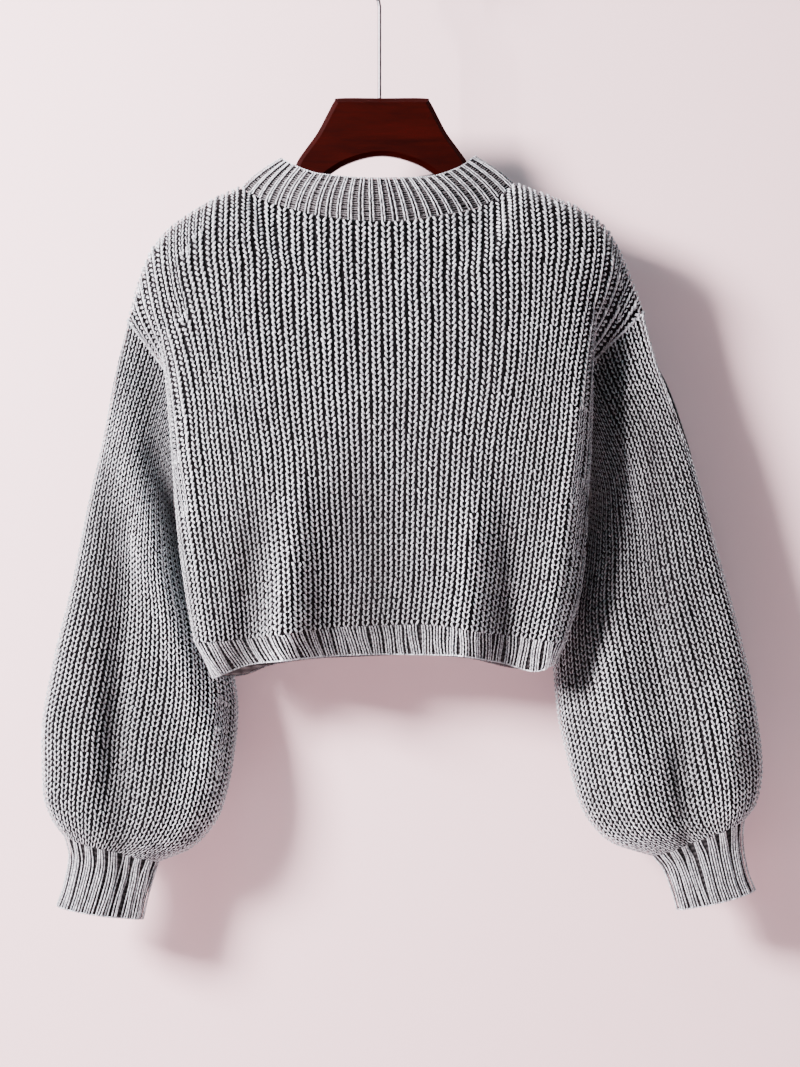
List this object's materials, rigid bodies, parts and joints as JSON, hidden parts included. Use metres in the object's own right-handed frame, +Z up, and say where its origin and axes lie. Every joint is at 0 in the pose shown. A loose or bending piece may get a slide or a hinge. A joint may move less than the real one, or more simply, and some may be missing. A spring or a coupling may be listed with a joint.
{
  "type": "cropped knit sweater on wooden hanger",
  "caption": "Cropped chunky rib-knit sweater with full balloon sleeves and a ribbed neck, hem and cuffs, hanging on a shaped wooden hanger with a wire hook.",
  "frame": {"origin": "inside the top of the hook, where it bears on a rail", "axes": "+Z up; the front of the sweater faces -Y; +X to the right as seen from the front"},
  "size_m": [0.6539, 0.1294, 0.8952],
  "materials": {
    "knit": "thick matte wool-blend rib knit, light warm grey",
    "wood": "dark mahogany, glossy lacquer",
    "metal": "bright plated wire"
  },
  "bodies": {
    "root": {"front_panel": "knit", "back_panel": "knit", "left_sleeve": "knit", "right_sleeve": "knit", "neckband": "knit", "front_hem_rib": "knit", "back_hem_rib": "knit", "left_cuff": "knit", "right_cuff": "knit", "hanger_body": "wood", "hanger_hook": "metal"}
  },
  "joints": []
}
